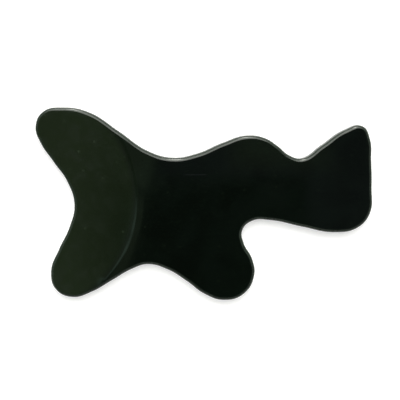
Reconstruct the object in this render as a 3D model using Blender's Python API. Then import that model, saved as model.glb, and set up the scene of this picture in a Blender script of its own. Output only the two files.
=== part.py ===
"""Gua sha scraper: one polished stone board with a forked tail, a leg and a wedge-shaped head.

The board lies flat: +Z is its thickness, +X runs from the tail to the head, and +Y runs from the
belly to the back. The origin is under the middle of its footprint, on the surface that it lies on.
Lengths are in metres unless a name ends in _MM.
"""

import math

import bmesh
import bpy

MM = 0.001

BOARD_THICKNESS = 6.0 * MM
EDGE_ROUNDING = 1.6 * MM
EDGE_STEPS = 4
OUTLINE_STEPS = 7

# The outline in millimetres, counter-clockwise from the top of the tail's upper lobe.
OUTLINE_MM = (
    # upper lobe of the tail, down to the bottom of the fork
    (-67.5, 46.3), (-76.2, 44.4), (-79.9, 37.5), (-77.8, 30.0), (-71.8, 20.8), (-65.5, 11.3), (-62.4, 0.5),
    # lower lobe of the tail
    (-65.0, -10.5), (-70.0, -20.8), (-74.0, -31.5), (-71.8, -40.2), (-64.0, -44.0), (-54.5, -41.4),
    # arch of the belly
    (-45.0, -36.0), (-35.5, -30.6), (-28.0, -28.4), (-18.5, -31.0), (-9.0, -37.0), (-1.0, -43.0),
    # leg
    (8.5, -46.3), (18.0, -43.6), (23.3, -34.5), (22.3, -26.4), (18.1, -18.5),
    # finger notch under the chin
    (17.4, -12.5), (22.0, -7.9), (31.0, -7.6),
    # jaw and head
    (46.0, -10.8), (62.0, -13.7), (73.0, -11.6), (79.0, -4.6), (79.6, 8.0), (79.1, 21.0), (78.3, 31.0),
    (74.5, 37.3), (66.0, 35.4),
    # notch of the neck
    (55.0, 28.0), (45.5, 22.0), (39.5, 23.6),
    # hump and saddle of the back
    (34.0, 28.0), (28.0, 31.7), (19.0, 32.9), (8.0, 29.5), (-4.0, 24.5), (-16.0, 22.5), (-28.0, 26.0),
    # rise to the upper lobe
    (-41.0, 35.0), (-55.0, 44.0),
)

# Both faces of the tail are ground to the same shallow dish, bounded by an arc-shaped ridge.
RIDGE_CENTRE_X = -89.0 * MM
RIDGE_CENTRE_Y = 3.2 * MM
RIDGE_RADIUS = 57.0 * MM
RIDGE_BLEND = 4.8 * MM
TAPER_SLOPE = math.tan(math.radians(3.0))
TAIL_LIMIT_X = -27.0 * MM

# Lines that divide the tail's faces into flat facets: radii and sectors about the ridge's centre.
FACET_RADII_MM = (60.2, 59.0, 57.8, 56.6, 55.4, 44.0, 34.0)
FACET_SECTORS = 20
FACET_SPREAD = math.radians(100.0)

WELD_DISTANCE = 1e-6
FLAT_ANGLE = math.radians(0.2)
CUT_TOLERANCE = 1e-7
SMOOTH_ANGLE = math.radians(30.0)

STONE_COLOUR = (0.010, 0.016, 0.011, 1.0)
STONE_ROUGHNESS = 0.08


def clear_scene():
    """Remove every object of the scene."""
    for item in list(bpy.data.objects):
        bpy.data.objects.remove(item, do_unlink=True)


def new_collection(name):
    """Add a collection to the scene."""
    collection = bpy.data.collections.new(name)
    bpy.context.scene.collection.children.link(collection)
    return collection


def stone_material():
    """The polished, very dark green stone."""
    material = bpy.data.materials.new("polished_stone")
    material.use_nodes = True
    shader = material.node_tree.nodes["Principled BSDF"]
    shader.inputs["Base Color"].default_value = STONE_COLOUR
    shader.inputs["Roughness"].default_value = STONE_ROUGHNESS
    shader.inputs["Metallic"].default_value = 0.0
    return material


def outline_curve(collection):
    """The closed smooth outline, filled, drawn out to the full thickness and rounded at its rims."""
    curve = bpy.data.curves.new("board_outline", "CURVE")
    curve.dimensions = "2D"
    curve.fill_mode = "BOTH"
    curve.offset = -EDGE_ROUNDING
    curve.extrude = BOARD_THICKNESS / 2 - EDGE_ROUNDING
    curve.bevel_depth = EDGE_ROUNDING
    curve.bevel_resolution = EDGE_STEPS - 1
    curve.resolution_u = OUTLINE_STEPS
    spline = curve.splines.new("BEZIER")
    spline.bezier_points.add(len(OUTLINE_MM) - 1)
    spline.use_cyclic_u = True
    for point, (x, y) in zip(spline.bezier_points, OUTLINE_MM):
        point.co = (x * MM, y * MM, 0.0)
        point.handle_left_type = "AUTO"
        point.handle_right_type = "AUTO"
    item = bpy.data.objects.new("board_outline", curve)
    item.location = (0.0, 0.0, BOARD_THICKNESS / 2)
    collection.objects.link(item)
    return item


def mesh_from_curve(curve_item, name, collection):
    """A closed mesh object in the place of a curve object, its caps welded to its rims."""
    graph = bpy.context.evaluated_depsgraph_get()
    mesh = bpy.data.meshes.new_from_object(curve_item.evaluated_get(graph))
    mesh.name = name
    shape = bmesh.new()
    shape.from_mesh(mesh)
    bmesh.ops.remove_doubles(shape, verts=shape.verts, dist=WELD_DISTANCE)
    bmesh.ops.dissolve_limit(shape, angle_limit=FLAT_ANGLE, verts=shape.verts, edges=shape.edges)
    shape.to_mesh(mesh)
    shape.free()
    item = bpy.data.objects.new(name, mesh)
    item.matrix_world = curve_item.matrix_world.copy()
    collection.objects.link(item)
    bpy.data.objects.remove(curve_item, do_unlink=True)
    return item


def cut(shape, faces, point, direction):
    """Divide some faces of a shape along the plane through a point, square to a direction."""
    edges = {edge for face in faces for edge in face.edges}
    corners = {corner for face in faces for corner in face.verts}
    bmesh.ops.bisect_plane(
        shape,
        geom=list(faces) + list(edges) + list(corners),
        dist=CUT_TOLERANCE,
        plane_co=point,
        plane_no=direction,
    )


def facet_tail(shape):
    """Divide the tail by rays and rings about the ridge's centre."""
    centre = (RIDGE_CENTRE_X, RIDGE_CENTRE_Y, 0.0)
    cut(shape, list(shape.faces), (TAIL_LIMIT_X, 0.0, 0.0), (1.0, 0.0, 0.0))
    sector = FACET_SPREAD / FACET_SECTORS
    for index in range(FACET_SECTORS + 1):
        angle = index * sector - FACET_SPREAD / 2
        tail = [face for face in shape.faces if face.calc_center_median().x < TAIL_LIMIT_X]
        cut(shape, tail, centre, (-math.sin(angle), math.cos(angle), 0.0))
    for index in range(FACET_SECTORS):
        angle = (index + 0.5) * sector - FACET_SPREAD / 2
        ray = (math.cos(angle), math.sin(angle), 0.0)
        for radius in FACET_RADII_MM:
            reach = radius * MM * math.cos(sector / 2)
            point = (centre[0] + reach * ray[0], centre[1] + reach * ray[1], 0.0)
            cut(shape, faces_in_sector(shape, angle, sector / 2), point, ray)


def faces_in_sector(shape, angle, half_width):
    """The faces of the tail that lie between two neighbouring rays."""
    found = []
    for face in shape.faces:
        middle = face.calc_center_median()
        direction = math.atan2(middle.y - RIDGE_CENTRE_Y, middle.x - RIDGE_CENTRE_X)
        if middle.x < TAIL_LIMIT_X and abs(direction - angle) < half_width:
            found.append(face)
    return found


def dish_depth(x, y):
    """How far one face of the tail is ground down at a place of the board.

    The slope grows with the square of the distance into the blend, up to the slope of the dish.
    """
    inward = RIDGE_RADIUS - math.hypot(x - RIDGE_CENTRE_X, y - RIDGE_CENTRE_Y)
    blended = inward + RIDGE_BLEND * 2 / 3
    if blended <= 0.0:
        return 0.0
    if blended >= RIDGE_BLEND:
        return TAPER_SLOPE * inward
    return TAPER_SLOPE * blended ** 3 / (3 * RIDGE_BLEND ** 2)


def taper_tail(board):
    """Thin the tail of the board towards the fork, the same from both faces."""
    shape = bmesh.new()
    shape.from_mesh(board.data)
    facet_tail(shape)
    for corner in shape.verts:
        corner.co.z *= 1.0 - 2.0 * dish_depth(corner.co.x, corner.co.y) / BOARD_THICKNESS
    shape.to_mesh(board.data)
    shape.free()


def build():
    """Build the scraper."""
    clear_scene()
    parts = new_collection("gua_sha_scraper")
    board = mesh_from_curve(outline_curve(parts), "scraper_board", parts)
    taper_tail(board)
    board.data.materials.clear()
    board.data.materials.append(stone_material())
    board.data.shade_smooth()
    board.data.set_sharp_from_angle(angle=SMOOTH_ANGLE)


build()
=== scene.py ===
"""The looks of the gua sha scraper: the polished stone board on a pale floor in soft studio light."""

import math

import bpy
from mathutils import Matrix, Vector, geometry


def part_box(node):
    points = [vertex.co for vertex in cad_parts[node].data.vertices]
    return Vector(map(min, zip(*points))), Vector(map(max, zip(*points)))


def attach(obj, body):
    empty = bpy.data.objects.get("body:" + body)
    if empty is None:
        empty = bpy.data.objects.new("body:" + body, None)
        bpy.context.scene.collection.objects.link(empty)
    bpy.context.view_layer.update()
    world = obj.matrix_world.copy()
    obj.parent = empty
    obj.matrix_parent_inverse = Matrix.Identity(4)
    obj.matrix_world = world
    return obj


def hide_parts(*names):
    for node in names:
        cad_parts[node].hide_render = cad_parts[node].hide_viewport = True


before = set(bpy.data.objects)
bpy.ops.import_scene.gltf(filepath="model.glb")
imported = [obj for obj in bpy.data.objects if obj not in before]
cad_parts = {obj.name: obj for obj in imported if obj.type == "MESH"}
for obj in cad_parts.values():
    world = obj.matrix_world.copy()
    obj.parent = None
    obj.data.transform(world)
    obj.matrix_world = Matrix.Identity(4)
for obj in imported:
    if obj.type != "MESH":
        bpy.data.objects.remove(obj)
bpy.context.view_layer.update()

MM = 0.001

# ---------------------------------------------------------------- the board's shape

BOARD_NODE = "scraper_board"
BOARD_LOW, BOARD_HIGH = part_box(BOARD_NODE)
THICKNESS = BOARD_HIGH[2] - BOARD_LOW[2]
HALF = THICKNESS / 2
EDGE_ROUNDING = 1.6 * MM
EDGE_STEPS = 7
OUTLINE_STEPS = 16

# The places inside a face's rim: how far apart they are, and how far they stay from the rim.
CAP_SPACING = 3.0 * MM
CAP_CLEARANCE = 1.2 * MM
CAP_MERGE_DISTANCE = 0.0001 * MM
CAP_INSIDE_ONLY = 1

# The outline in millimetres, counter-clockwise from the top of the tail's upper lobe.
OUTLINE_MM = (
    # upper lobe of the tail, down to the bottom of the fork
    (-67.5, 46.3), (-76.2, 44.4), (-79.9, 37.5), (-77.8, 30.0), (-71.8, 20.8), (-65.5, 11.3), (-62.4, 0.5),
    # lower lobe of the tail
    (-65.0, -10.5), (-70.0, -20.8), (-74.0, -31.5), (-71.8, -40.2), (-64.0, -44.0), (-54.5, -41.4),
    # arch of the belly
    (-45.0, -36.0), (-35.5, -30.6), (-28.0, -28.4), (-18.5, -31.0), (-9.0, -37.0), (-1.0, -43.0),
    # leg
    (8.5, -46.3), (18.0, -43.6), (23.3, -34.5), (22.3, -26.4), (18.1, -18.5),
    # finger notch under the chin
    (17.4, -12.5), (22.0, -7.9), (31.0, -7.6),
    # jaw and head
    (46.0, -10.8), (62.0, -13.7), (73.0, -11.6), (79.0, -4.6), (79.6, 8.0), (79.1, 21.0), (78.3, 31.0),
    (74.5, 37.3), (66.0, 35.4),
    # notch of the neck
    (55.0, 28.0), (45.5, 22.0), (39.5, 23.6),
    # hump and saddle of the back
    (34.0, 28.0), (28.0, 31.7), (19.0, 32.9), (8.0, 29.5), (-4.0, 24.5), (-16.0, 22.5), (-28.0, 26.0),
    # rise to the upper lobe
    (-41.0, 35.0), (-55.0, 44.0),
)

# Both faces of the tail are ground to the same shallow dish, bounded by an arc-shaped ridge.
RIDGE_CENTRE = Vector((-89.0 * MM, 3.2 * MM))
RIDGE_RADIUS = 57.0 * MM
RIDGE_BLEND = 4.8 * MM
RIDGE_START = RIDGE_RADIUS + RIDGE_BLEND * 2 / 3
RIDGE_END = RIDGE_START - RIDGE_BLEND
RIDGE_RINGS = 13
RIDGE_RING_STEP = math.radians(1.5)
RIDGE_HALF_SPREAD = math.radians(50.0)
TAPER_SLOPE = math.tan(math.radians(3.0))


def smooth_outline():
    """The outline as a fine closed polyline in the XY plane."""
    curve = bpy.data.curves.new("outline", "CURVE")
    curve.dimensions = "2D"
    curve.fill_mode = "NONE"
    curve.resolution_u = OUTLINE_STEPS
    spline = curve.splines.new("BEZIER")
    spline.bezier_points.add(len(OUTLINE_MM) - 1)
    spline.use_cyclic_u = True
    for point, (x, y) in zip(spline.bezier_points, OUTLINE_MM):
        point.co = (x * MM, y * MM, 0.0)
        point.handle_left_type = "AUTO"
        point.handle_right_type = "AUTO"
    item = bpy.data.objects.new("outline", curve)
    bpy.context.scene.collection.objects.link(item)
    mesh = bpy.data.meshes.new_from_object(item.evaluated_get(bpy.context.evaluated_depsgraph_get()))
    points = [corner.co.xy for corner in mesh.vertices]
    bpy.data.objects.remove(item)
    bpy.data.curves.remove(curve)
    bpy.data.meshes.remove(mesh)
    return points


def outward_normals(points):
    """The direction out of the board at each point of its counter-clockwise outline."""
    normals = []
    for index, point in enumerate(points):
        along = points[(index + 1) % len(points)] - points[index - 1]
        normals.append(Vector((along.y, -along.x)).normalized())
    return normals


def ground_depth(inward):
    """How far one face is ground down, and how steeply, at a distance inside the ridge."""
    blended = inward + RIDGE_BLEND * 2 / 3
    if blended <= 0.0:
        return 0.0, 0.0
    if blended >= RIDGE_BLEND:
        return TAPER_SLOPE * inward, TAPER_SLOPE
    share = blended / RIDGE_BLEND
    return TAPER_SLOPE * blended * share ** 2 / 3, TAPER_SLOPE * share ** 2


def tapered(place, height, normal):
    """Where a point of the untapered board and its normal go once the tail is thinned."""
    from_centre = place - RIDGE_CENTRE
    radius = from_centre.length
    depth, slope = ground_depth(RIDGE_RADIUS - radius)
    share = 1.0 - depth / HALF
    rise = from_centre * (slope / (radius * HALF))
    lean = height / share * normal.z
    bent = Vector((normal.x - lean * rise.x, normal.y - lean * rise.y, normal.z / share))
    return Vector((place.x, place.y, HALF + height * share)), bent.normalized()


def inside(place, points):
    """Whether a place is inside the closed outline."""
    hits = 0
    for start, end in zip(points, points[1:] + points[:1]):
        if (start.y > place.y) != (end.y > place.y):
            cross = start.x + (place.y - start.y) * (end.x - start.x) / (end.y - start.y)
            hits += place.x < cross
    return hits % 2 == 1


def grid_places():
    """An even grid of triangles over the board, left out across the ridge of the tail."""
    places = []
    row_height = CAP_SPACING * math.sqrt(3.0) / 2
    for row in range(int((BOARD_HIGH[1] - BOARD_LOW[1]) / row_height) + 1):
        for column in range(int((BOARD_HIGH[0] - BOARD_LOW[0]) / CAP_SPACING) + 1):
            x = BOARD_LOW[0] + (column + 0.5 * (row % 2)) * CAP_SPACING
            place = Vector((x, BOARD_LOW[1] + row * row_height))
            from_centre = (place - RIDGE_CENTRE).length
            if from_centre < RIDGE_END - CAP_SPACING / 2 or from_centre > RIDGE_START + CAP_SPACING / 2:
                places.append(place)
    return places


def ridge_places():
    """Close rings that follow the ridge of the tail."""
    places = []
    for ring in range(RIDGE_RINGS):
        radius = RIDGE_END + RIDGE_BLEND * ring / (RIDGE_RINGS - 1)
        for step in range(round(2 * RIDGE_HALF_SPREAD / RIDGE_RING_STEP) + 1):
            angle = step * RIDGE_RING_STEP - RIDGE_HALF_SPREAD
            places.append(RIDGE_CENTRE + radius * Vector((math.cos(angle), math.sin(angle))))
    return places


def cap_places(rim):
    """The places of the grid and of the ridge that are well inside a face's rim."""
    kept = []
    for place in grid_places() + ridge_places():
        nearest = min((place - point).length for point in rim)
        if nearest > CAP_CLEARANCE and inside(place, rim):
            kept.append(place)
    return kept


def edge_rings(outline, directions):
    """Corners and normals of the edge, ring by ring from the lower face's rim to the upper one's."""
    corners = []
    normals = []
    quarter = [math.radians(90.0) * (step / EDGE_STEPS) for step in range(EDGE_STEPS + 1)]
    lower = [(-1.0, -turn) for turn in reversed(quarter)]
    upper = [(1.0, turn) for turn in quarter]
    for side, turn in lower + upper:
        height = side * (HALF - EDGE_ROUNDING) + EDGE_ROUNDING * math.sin(turn)
        for point, out in zip(outline, directions):
            place = point - out * EDGE_ROUNDING * (1.0 - math.cos(turn))
            flat_normal = Vector((out.x * math.cos(turn), out.y * math.cos(turn), math.sin(turn)))
            corner, normal = tapered(place, height, flat_normal)
            corners.append(corner)
            normals.append(normal)
    return corners, normals


def edge_faces(rings, count):
    """The faces between neighbouring rings, each ring with so many corners."""
    faces = []
    for ring in range(rings - 1):
        low = ring * count
        high = low + count
        for index in range(count):
            after = (index + 1) % count
            faces.append((low + index, low + after, high + after, high + index))
    return faces


def board_mesh():
    """The whole board as one closed, finely rounded mesh with exact normals."""
    outline = smooth_outline()
    directions = outward_normals(outline)
    count = len(outline)
    corners, normals = edge_rings(outline, directions)
    rings = len(corners) // count
    faces = edge_faces(rings, count)

    # Both faces of the board, from one flat triangulation of the space inside the rim.
    rim = [point - out * EDGE_ROUNDING for point, out in zip(outline, directions)]
    rim_edges = [(index, (index + 1) % count) for index in range(count)]
    places = rim + cap_places(rim)
    flat = geometry.delaunay_2d_cdt(places, rim_edges, [], CAP_INSIDE_ONLY, CAP_MERGE_DISTANCE)
    spots, _, triangles = flat[:3]
    for side, first_rim in ((-1.0, 0), (1.0, (rings - 1) * count)):
        first_inner = len(corners)
        for spot in spots[count:]:
            corner, normal = tapered(spot, side * HALF, Vector((0.0, 0.0, side)))
            corners.append(corner)
            normals.append(normal)
        for triangle in triangles:
            face = [first_rim + i if i < count else first_inner + i - count for i in triangle]
            faces.append(face if side > 0 else face[::-1])

    mesh = bpy.data.meshes.new("stone_board")
    mesh.from_pydata(corners, [], faces)
    mesh.shade_smooth()
    mesh.normals_split_custom_set_from_vertices(normals)
    return mesh


# ---------------------------------------------------------------- helpers for node trees


def put(tree, socket, value):
    """Link an output to a socket, or set the socket's value."""
    if isinstance(value, bpy.types.NodeSocket):
        tree.links.new(value, socket)
    else:
        socket.default_value = value


def add(tree, kind, **sockets):
    """A new node, with its input values or links given by socket name."""
    node = tree.nodes.new(kind)
    for name, value in sockets.items():
        put(tree, node.inputs[name.replace("_", " ")], value)
    return node


def noise(tree, where, scale, detail=3.0, roughness=0.5, distortion=0.0):
    """The value of a noise texture, its scale in features per metre."""
    node = add(tree, "ShaderNodeTexNoise", Vector=where, Scale=scale, Detail=detail,
               Roughness=roughness, Distortion=distortion)
    return node.outputs["Fac"]


def remap(tree, value, low, high, to_low=0.0, to_high=1.0):
    """A value moved smoothly from one range to another."""
    node = add(tree, "ShaderNodeMapRange", Value=value, From_Min=low, From_Max=high,
               To_Min=to_low, To_Max=to_high)
    node.interpolation_type = "SMOOTHSTEP"
    return node.outputs["Result"]


def mix(tree, share, first, second):
    """A colour between two colours."""
    node = tree.nodes.new("ShaderNodeMix")
    node.data_type = "RGBA"
    put(tree, node.inputs[0], share)
    put(tree, node.inputs[6], first)
    put(tree, node.inputs[7], second)
    return node.outputs[2]


def maths(tree, operation, first, second=0.0):
    """The result of an operation on two values."""
    node = tree.nodes.new("ShaderNodeMath")
    node.operation = operation
    put(tree, node.inputs[0], first)
    put(tree, node.inputs[1], second)
    return node.outputs[0]


def vector_maths(tree, operation, *operands, result="Vector"):
    """The result of an operation on vectors."""
    node = tree.nodes.new("ShaderNodeVectorMath")
    node.operation = operation
    for socket, value in zip(node.inputs, operands):
        put(tree, socket, value)
    return node.outputs[result]


def parts_of(tree, vector):
    """The X, Y and Z of a vector."""
    node = add(tree, "ShaderNodeSeparateXYZ", Vector=vector)
    return node.outputs["X"], node.outputs["Y"], node.outputs["Z"]


def distance(tree, where, place, stretch):
    """The distance from one place, with X, Y and Z stretched."""
    stretched = vector_maths(tree, "MULTIPLY", where, stretch)
    target = tuple(length * factor for length, factor in zip(place, stretch))
    return vector_maths(tree, "DISTANCE", stretched, target, result="Value")


def bump(tree, height, distance_up, normal=None):
    """A bumped normal, raised by a distance in metres where the height is 1."""
    node = add(tree, "ShaderNodeBump", Height=height, Distance=distance_up)
    if normal is not None:
        put(tree, node.inputs["Normal"], normal)
    return node.outputs["Normal"]


# ---------------------------------------------------------------- the stone

STONE_DEEP = (0.0015, 0.0025, 0.0017, 1.0)
STONE_CLOUD = (0.0021, 0.0036, 0.0025, 1.0)
# The ground tail's two colours: partly the thinner stone's own lighter tone, partly painted reflection of
# its ground facet.
THIN_STONE_AND_REFLECTION = (0.0014, 0.0042, 0.0009, 1.0)
THINNEST_STONE_AND_REFLECTION = (0.0063, 0.0110, 0.0046, 1.0)
STONE_MOTTLE = (0.0100, 0.0145, 0.0095, 1.0)
STONE_GRAIN = (0.0045, 0.0080, 0.0045, 1.0)
STONE_SPECK = (0.0170, 0.0260, 0.0150, 1.0)
STONE_EDGE = (0.0092, 0.0168, 0.0095, 1.0)
STONE_HAIRLINE = (0.0064, 0.0080, 0.0078, 1.0)
STONE_IOR = 1.45

# Each texture's scale in features per metre, and the range of its values that shows.
CLOUD_SCALE = 60.0
CLOUD_RANGE = (0.34, 0.66)
MOTTLE_SCALE = 170.0
MOTTLE_RANGE = (0.42, 0.70)
MOTTLE_SHARE = 0.60
GRAIN_SCALE = 700.0
GRAIN_RANGE = (0.52, 0.80)
GRAIN_SHARE = 0.30
SCUFF_SCALE = 260.0
SCUFF_RANGE = (0.30, 0.62)
LEAST_WORN = 0.75
SMEAR_SCALE = 45.0
SMEAR_RANGE = (0.42, 0.72)
SMEAR_TURN = (0.0, 0.0, -0.4)
SMEAR_STRETCH = (1.0, 2.2, 1.0)

# The faces' roughness, from the best polished to the most smeared, and what wear adds at the edge.
BEST_POLISH = 0.045
WORST_POLISH = 0.09
EDGE_DULLING = 0.24

# A slight waviness of the polished faces, and fine pits.
WAVE_SCALE = 55.0
WAVE_HEIGHT = 0.012 * MM
PIT_SCALE = 420.0
PIT_REACH = 0.10
PIT_HEIGHT = 0.01 * MM

# Faint specks, one in some of the cells of a grid. The reaches are in cells.
SPECK_SCALE = 110.0
SPECK_REACH = 0.085
SPECK_HEART = 0.03
SPECK_CHOICE = 0.60
SPECK_STRENGTHS = (0.10, 0.45)
THICK_STONE_SPECKS = 0.30

# The paler specks of the tail's upper lobe: X and Y in millimetres, radius in millimetres, strength.
PALE_SPECKS = (
    (-60.0, 25.8, 0.95, 1.00),
    (-52.6, 30.3, 0.80, 0.75),
    (-42.0, 20.6, 1.20, 0.25),
    (-66.5, 39.9, 1.20, 0.30),
    (-64.0, 17.6, 0.90, 0.35),
)

# A faint hairline in the middle of the board, along X.
HAIRLINE_MIDDLE = (-5.0 * MM, 14.6 * MM, 0.0)
HAIRLINE_HALF_LENGTH = 5.5 * MM
HAIRLINE_FULL_STRENGTH = 0.84
HAIRLINE_HALF_WIDTH = 0.35 * MM

# The ground tail is darkest at one place by the ridge, and lighter with the distance from it, the
# distance counted shorter along Y; this lightening is partly the stone's own tone and partly painted
# reflection.
DARKEST_PLACE = (-37.0 * MM, -15.0 * MM, 0.0)
DARKEST_STRETCH = (1.0, 0.4, 0.0)
LIGHTENING_REACH = 30.0 * MM

# How far inside and outside the end of the ridge's blend the stone changes colour.
COLOUR_INSIDE = 3.0 * MM
COLOUR_OUTSIDE = 2.0 * MM

# How far a normal leans from upright where the look of the edge starts and where it is whole.
EDGE_MASK_START = math.radians(4.0)
EDGE_MASK_END = math.radians(13.0)

IN_PLAN = (1.0, 1.0, 0.0)


def inside_ridge(tree, where):
    """1 where the tail is ground thin, 0 on the rest of the board, soft across the ridge."""
    radius = distance(tree, where, (RIDGE_CENTRE.x, RIDGE_CENTRE.y, 0.0), IN_PLAN)
    return remap(tree, radius, RIDGE_END - COLOUR_INSIDE, RIDGE_END + COLOUR_OUTSIDE, 1.0, 0.0)


def worn_edge(tree, where, normal):
    """How worn the side and its rounding are, 0 on both faces."""
    _, _, upright = parts_of(tree, normal)
    upright = maths(tree, "ABSOLUTE", upright)
    edge = remap(tree, upright, math.cos(EDGE_MASK_START), math.cos(EDGE_MASK_END))
    scuffs = noise(tree, where, SCUFF_SCALE, detail=4.0, roughness=0.7)
    return maths(tree, "MULTIPLY", edge, remap(tree, scuffs, *SCUFF_RANGE, LEAST_WORN, 1.0))


def thick_stone(tree, where):
    """The colour of the stone at its full thickness: very dark, with soft clouds."""
    clouds = noise(tree, where, CLOUD_SCALE, detail=4.0, roughness=0.55, distortion=0.4)
    return mix(tree, remap(tree, clouds, *CLOUD_RANGE), STONE_DEEP, STONE_CLOUD)


def thin_stone_and_painted_reflection(tree, where):
    """The colour of the ground tail, partly its own lighter tone and partly painted reflection: lighter and
    more mottled with the distance from the ridge.
    """
    from_darkest = distance(tree, where, DARKEST_PLACE, DARKEST_STRETCH)
    lightening = maths(tree, "MINIMUM", maths(tree, "DIVIDE", from_darkest, LIGHTENING_REACH), 1.0)
    thin_and_reflected = mix(tree, lightening, THIN_STONE_AND_REFLECTION, THINNEST_STONE_AND_REFLECTION)
    mottle = noise(tree, where, MOTTLE_SCALE, detail=4.0, roughness=0.6, distortion=0.6)
    share = remap(tree, mottle, *MOTTLE_RANGE, 0.0, MOTTLE_SHARE)
    return mix(tree, maths(tree, "MULTIPLY", lightening, share), thin_and_reflected, STONE_MOTTLE)


def faint_specks(tree, where, tail):
    """The strength of the scattered faint specks, weaker where the stone is thick."""
    cells = add(tree, "ShaderNodeTexVoronoi", Vector=where, Scale=SPECK_SCALE)
    cells.voronoi_dimensions = "2D"
    near = remap(tree, cells.outputs["Distance"], SPECK_REACH, SPECK_HEART)
    chance = add(tree, "ShaderNodeSeparateColor", Color=cells.outputs["Color"])
    chosen = maths(tree, "GREATER_THAN", chance.outputs["Red"], SPECK_CHOICE)
    strength = remap(tree, chance.outputs["Green"], 0.0, 1.0, *SPECK_STRENGTHS)
    speck = maths(tree, "MULTIPLY", maths(tree, "MULTIPLY", near, chosen), strength)
    return maths(tree, "MULTIPLY", speck, remap(tree, tail, 0.0, 1.0, THICK_STONE_SPECKS, 1.0))


def pale_specks(tree, where):
    """The strength of the paler specks of the upper lobe, 0 away from them."""
    total = 0.0
    for x, y, radius, strength in PALE_SPECKS:
        away = distance(tree, where, (x * MM, y * MM, 0.0), IN_PLAN)
        total = maths(tree, "ADD", total, remap(tree, away, radius * MM, 0.0, 0.0, strength))
    return total


def hairline(tree, where):
    """1 along the hairline, soft at its ends and sides, 0 away from it."""
    offset_x, offset_y, _ = parts_of(tree, vector_maths(tree, "SUBTRACT", where, HAIRLINE_MIDDLE))
    along = maths(tree, "ABSOLUTE", offset_x)
    across = maths(tree, "ABSOLUTE", offset_y)
    full_length = HAIRLINE_HALF_LENGTH * HAIRLINE_FULL_STRENGTH
    ends = remap(tree, along, HAIRLINE_HALF_LENGTH, full_length)
    return maths(tree, "MULTIPLY", ends, remap(tree, across, HAIRLINE_HALF_WIDTH, 0.0))


def stone_colour(tree, where, worn):
    """The stone's colour, with the tail's partly painted reflection, its grain, specks, hairline and worn
    edge.
    """
    tail = inside_ridge(tree, where)
    # The ground tail: its own lighter tone with painted reflection.
    colour = mix(tree, tail, thick_stone(tree, where), thin_stone_and_painted_reflection(tree, where))
    grain = noise(tree, where, GRAIN_SCALE, detail=3.0)
    colour = mix(tree, remap(tree, grain, *GRAIN_RANGE, 0.0, GRAIN_SHARE), colour, STONE_GRAIN)
    speck = maths(tree, "MAXIMUM", faint_specks(tree, where, tail), pale_specks(tree, where))
    colour = mix(tree, speck, colour, STONE_SPECK)
    colour = mix(tree, hairline(tree, where), colour, STONE_HAIRLINE)
    return mix(tree, worn, colour, STONE_EDGE)


def stone_roughness(tree, where, worn):
    """A mirror polish with faint smears that run one way, duller on the worn edge."""
    turned = tree.nodes.new("ShaderNodeMapping")
    put(tree, turned.inputs["Vector"], where)
    turned.inputs["Rotation"].default_value = SMEAR_TURN
    turned.inputs["Scale"].default_value = SMEAR_STRETCH
    smear = noise(tree, turned.outputs["Vector"], SMEAR_SCALE, detail=4.0, roughness=0.6)
    polish = remap(tree, smear, *SMEAR_RANGE, BEST_POLISH, WORST_POLISH)
    return maths(tree, "ADD", polish, maths(tree, "MULTIPLY", worn, EDGE_DULLING))


def stone_normal(tree, where):
    """The very slight waviness and the fine pits of the polished surface."""
    wavy = bump(tree, noise(tree, where, WAVE_SCALE, detail=2.0), WAVE_HEIGHT)
    pits = add(tree, "ShaderNodeTexVoronoi", Vector=where, Scale=PIT_SCALE)
    return bump(tree, remap(tree, pits.outputs["Distance"], 0.0, PIT_REACH), PIT_HEIGHT, wavy)


def stone_material():
    """Very dark green stone: softly clouded, fine-grained and sparsely speckled, mirror-polished."""
    material = bpy.data.materials.new("polished_stone")
    material.use_nodes = True
    tree = material.node_tree
    shader = tree.nodes["Principled BSDF"]
    coordinates = tree.nodes.new("ShaderNodeTexCoord")
    where = coordinates.outputs["Object"]
    worn = worn_edge(tree, where, coordinates.outputs["Normal"])
    put(tree, shader.inputs["Base Color"], stone_colour(tree, where, worn))
    put(tree, shader.inputs["Roughness"], stone_roughness(tree, where, worn))
    put(tree, shader.inputs["Normal"], stone_normal(tree, where))
    shader.inputs["IOR"].default_value = STONE_IOR
    return material


def make_board():
    """The stone board, in place of its CAD node."""
    board = bpy.data.objects.new("stone_board", board_mesh())
    bpy.context.scene.collection.objects.link(board)
    board.data.materials.append(stone_material())
    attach(board, "root")
    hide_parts(BOARD_NODE)


# ---------------------------------------------------------------- the floor

FLOOR_SIZE = 6.0
FLOOR_SHADES = ((0.66, 0.66, 0.66, 1.0), (0.69, 0.69, 0.685, 1.0))
FLOOR_SHADE_SCALE = 6.0
FLOOR_ROUGHNESS = 0.7

# The floor glows white, which keeps the board's shadow on it faint.
FLOOR_GLOW = 0.5
FLOOR_GLOW_COLOUR = (1.0, 1.0, 1.0, 1.0)


def floor_material():
    """A plain pale studio floor."""
    material = bpy.data.materials.new("pale_floor")
    material.use_nodes = True
    tree = material.node_tree
    shader = tree.nodes["Principled BSDF"]
    where = tree.nodes.new("ShaderNodeTexCoord").outputs["Object"]
    shade = mix(tree, noise(tree, where, FLOOR_SHADE_SCALE), *FLOOR_SHADES)
    put(tree, shader.inputs["Base Color"], shade)
    shader.inputs["Roughness"].default_value = FLOOR_ROUGHNESS
    shader.inputs["Emission Color"].default_value = FLOOR_GLOW_COLOUR
    shader.inputs["Emission Strength"].default_value = FLOOR_GLOW
    return material


def make_floor():
    """A wide pale floor, which the board lies on."""
    bpy.ops.mesh.primitive_plane_add(size=FLOOR_SIZE, location=(0.0, 0.0, 0.0))
    floor = bpy.context.object
    floor.name = "floor"
    floor.data.materials.append(floor_material())


# ---------------------------------------------------------------- the camera and the lamp

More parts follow.
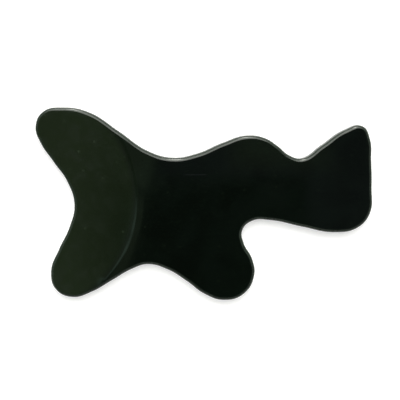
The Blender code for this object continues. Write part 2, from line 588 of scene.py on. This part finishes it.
VIEW_DISTANCE = 0.451
VIEW_TILT_BACK = math.radians(7.0)
VIEW_TILT_LEFT = math.radians(3.0)
VIEW_TARGET = Vector((-2.8 * MM, 2.2 * MM, HALF))
VIEW_LENS = 85.0
VIEW_CLIP_START = 0.01

RIM_LAMP_TILT = math.radians(28.0)
RIM_LAMP_DISTANCE = 1.6
RIM_LAMP_SIZE = 0.25
RIM_LAMP_POWER = 15.0
RIM_LAMP_COLOUR = (1.0, 1.0, 0.93)


def look(item, place, target, upwards):
    """Place an object so that it looks at a target."""
    back = (place - target).normalized()
    up = (upwards - upwards.dot(back) * back).normalized()
    turn = Matrix((up.cross(back), up, back)).transposed()
    item.matrix_world = Matrix.Translation(place) @ turn.to_4x4()


def make_camera():
    """The camera, nearly straight above the board."""
    camera = bpy.data.objects.new("camera", bpy.data.cameras.new("camera"))
    bpy.context.scene.collection.objects.link(camera)
    camera.data.lens = VIEW_LENS
    camera.data.clip_start = VIEW_CLIP_START
    across = -math.sin(VIEW_TILT_LEFT)
    along = math.sin(VIEW_TILT_BACK)
    direction = Vector((across, along, math.sqrt(1.0 - across ** 2 - along ** 2)))
    look(camera, VIEW_TARGET + VIEW_DISTANCE * direction, VIEW_TARGET, Vector((0.0, 1.0, 0.0)))
    bpy.context.scene.camera = camera


def make_rim_lamp():
    """A soft lamp low behind the back, which lights the rounded edges."""
    data = bpy.data.lights.new("rim_lamp", "AREA")
    data.shape = "DISK"
    data.size = RIM_LAMP_SIZE
    data.energy = RIM_LAMP_POWER
    data.color = RIM_LAMP_COLOUR
    lamp = bpy.data.objects.new("rim_lamp", data)
    bpy.context.scene.collection.objects.link(lamp)
    place = RIM_LAMP_DISTANCE * Vector((0.0, math.cos(RIM_LAMP_TILT), math.sin(RIM_LAMP_TILT)))
    look(lamp, place, Vector((0.0, 0.0, 0.0)), Vector((0.0, 0.0, 1.0)))


# ---------------------------------------------------------------- the room

# Light from each part of the room, relative to a white floor.
ROOM_LIGHT = 0.85
MIDDLE_LIGHT = 0.16
LOW_LIGHT = 0.05
WALL_LIGHT = 1.2
WALL_FOOT_LIGHT = 0.70
HORIZON_LIGHT = 1.0
SOFTBOX_LIGHT = 4.7
SOFTBOX_COLOUR = (1.0, 1.02, 0.96)
WHITE = (1.0, 1.0, 1.0)

# The elevations in degrees between which a part of the room's light grows or fades.
LOW_TO_MIDDLE = (10.0, 30.0)
MIDDLE_TO_ROOM = (30.0, 45.0)
ROOM_FADE = (76.0, 50.0)
HORIZON_TO_FOOT = (0.3, 2.3)
FOOT_TO_WALL = (6.0, 13.0)
WALL_FADE = (23.5, 15.5)

# The walls stand where the heading's Y less its X passes this range.
WALL_SIDES = (-0.2, 0.4)

# The softbox: the range of the heading's Y at its sides, of the direction's Y at its top and of the
# direction's Z at its foot.
SOFTBOX_SIDES = (0.70, 0.82)
SOFTBOX_TOP = (0.0, 0.07)
SOFTBOX_FOOT = (0.50, 0.62)

# One corner of the room is dim: its heading, how nearly a heading meets it, and its share of light.
DARK_CORNER = (-0.81, -0.58, 0.0)
DARK_CORNER_RANGE = (0.80, 0.97)
DARK_CORNER_SHARE = 0.2

# Dim panels of the ceiling, which the polished faces mirror. Each is given by the X and Y of the
# direction towards its sides, how much its X sides lean with Y, how softly it ends, and its light.
CEILING = (
    ((-0.400, -0.117), (-0.300, 0.100), 0.0, 0.008, (0.120, 0.120, 0.100)),
    ((-0.1165, -0.078), (-0.150, -0.123), -0.35, 0.006, (0.490, 0.730, 0.570)),
    ((-0.088, -0.018), (-0.220, -0.118), 0.20, 0.008, (0.120, 0.170, 0.100)),
    ((-0.117, -0.064), (-0.118, 0.100), 0.0, 0.008, (0.070, 0.110, 0.050)),
    ((-0.064, 0.006), (-0.112, -0.040), 0.24, 0.010, (0.145, 0.210, 0.125)),
    ((0.008, 0.320), (-0.098, 0.100), 0.0, 0.012, (0.040, 0.038, 0.055)),
    ((0.088, 0.186), (-0.086, 0.100), 0.0, 0.030, (0.070, 0.115, 0.040)),
    ((0.165, 0.320), (-0.240, -0.098), 0.0, 0.010, (0.040, 0.038, 0.055)),
    ((0.228, 0.320), (-0.240, 0.100), 0.0, 0.016, (0.040, 0.065, 0.040)),
)

# The range of the direction's Z above which the ceiling's panels show.
CEILING_FOOT = (0.5, 0.8)


def by_elevation(tree, up, degrees, first=0.0, last=1.0):
    """A value that goes smoothly from a first to a last one between two elevations in degrees."""
    start, end = (math.sin(math.radians(angle)) for angle in degrees)
    return remap(tree, up, start, end, first, last)


def room_light(tree, up, heading):
    """The light of the room, dim low down, overhead and in one corner."""
    low = by_elevation(tree, up, LOW_TO_MIDDLE, LOW_LIGHT, MIDDLE_LIGHT)
    high = by_elevation(tree, up, MIDDLE_TO_ROOM, 0.0, ROOM_LIGHT - MIDDLE_LIGHT)
    room = maths(tree, "MULTIPLY", maths(tree, "ADD", low, high), by_elevation(tree, up, ROOM_FADE))
    nearness = vector_maths(tree, "DOT_PRODUCT", heading, DARK_CORNER, result="Value")
    corner = remap(tree, nearness, *DARK_CORNER_RANGE, 1.0, DARK_CORNER_SHARE)
    return maths(tree, "MULTIPLY", room, corner)


def softbox_light(tree, up, toward_y, heading_y):
    """The light of the softbox, high behind the board's back."""
    softbox = remap(tree, heading_y, *SOFTBOX_SIDES, 0.0, SOFTBOX_LIGHT)
    softbox = maths(tree, "MULTIPLY", softbox, remap(tree, toward_y, *SOFTBOX_TOP))
    return maths(tree, "MULTIPLY", softbox, remap(tree, up, *SOFTBOX_FOOT))


def wall_light(tree, up, heading_x, heading_y):
    """The light of the pale walls, low behind the board's back and beside its tail."""
    walls = remap(tree, maths(tree, "SUBTRACT", heading_y, heading_x), *WALL_SIDES)
    foot = by_elevation(tree, up, HORIZON_TO_FOOT, HORIZON_LIGHT, WALL_FOOT_LIGHT)
    above = by_elevation(tree, up, FOOT_TO_WALL, 0.0, WALL_LIGHT - WALL_FOOT_LIGHT)
    walls = maths(tree, "MULTIPLY", walls, maths(tree, "ADD", foot, above))
    return maths(tree, "MULTIPLY", walls, by_elevation(tree, up, WALL_FADE))


def ceiling_panel(tree, level, sides_x, sides_y, lean, softness):
    """1 inside one panel of the ceiling, 0 outside it."""
    middle_x, middle_y = sum(sides_x) / 2, sum(sides_y) / 2
    offset_x, offset_y, _ = parts_of(tree, vector_maths(tree, "SUBTRACT", level, (middle_x, middle_y, 0.0)))
    offset_x = maths(tree, "SUBTRACT", offset_x, maths(tree, "MULTIPLY", offset_y, lean))
    beyond_x = maths(tree, "SUBTRACT", maths(tree, "ABSOLUTE", offset_x), sides_x[1] - middle_x)
    beyond_y = maths(tree, "SUBTRACT", maths(tree, "ABSOLUTE", offset_y), sides_y[1] - middle_y)
    return remap(tree, maths(tree, "MAXIMUM", beyond_x, beyond_y), softness / 2, -softness / 2)


def make_world():
    """A dark ceiling with dim panels, a softbox high behind, pale walls low behind and beside."""
    world = bpy.data.worlds.new("studio")
    bpy.context.scene.world = world
    world.use_nodes = True
    tree = world.node_tree
    toward = tree.nodes.new("ShaderNodeTexCoord").outputs["Generated"]
    _, toward_y, up = parts_of(tree, toward)
    level = vector_maths(tree, "MULTIPLY", toward, IN_PLAN)
    heading = vector_maths(tree, "NORMALIZE", level)
    heading_x, heading_y, _ = parts_of(tree, heading)

    room = room_light(tree, up, heading)
    walls = wall_light(tree, up, heading_x, heading_y)
    softbox = softbox_light(tree, up, toward_y, heading_y)
    total = vector_maths(tree, "MULTIPLY", WHITE, maths(tree, "ADD", room, walls))
    total = vector_maths(tree, "MULTIPLY_ADD", SOFTBOX_COLOUR, softbox, total)
    overhead = remap(tree, up, *CEILING_FOOT)
    for sides_x, sides_y, lean, softness, glow in CEILING:
        panel = ceiling_panel(tree, level, sides_x, sides_y, lean, softness)
        total = vector_maths(tree, "MULTIPLY_ADD", glow, maths(tree, "MULTIPLY", panel, overhead), total)
    background = tree.nodes["Background"]
    put(tree, background.inputs["Color"], total)
    background.inputs["Strength"].default_value = 1.0


make_board()
make_floor()
make_camera()
make_world()
make_rim_lamp()
bpy.context.scene.view_settings.view_transform = "Standard"
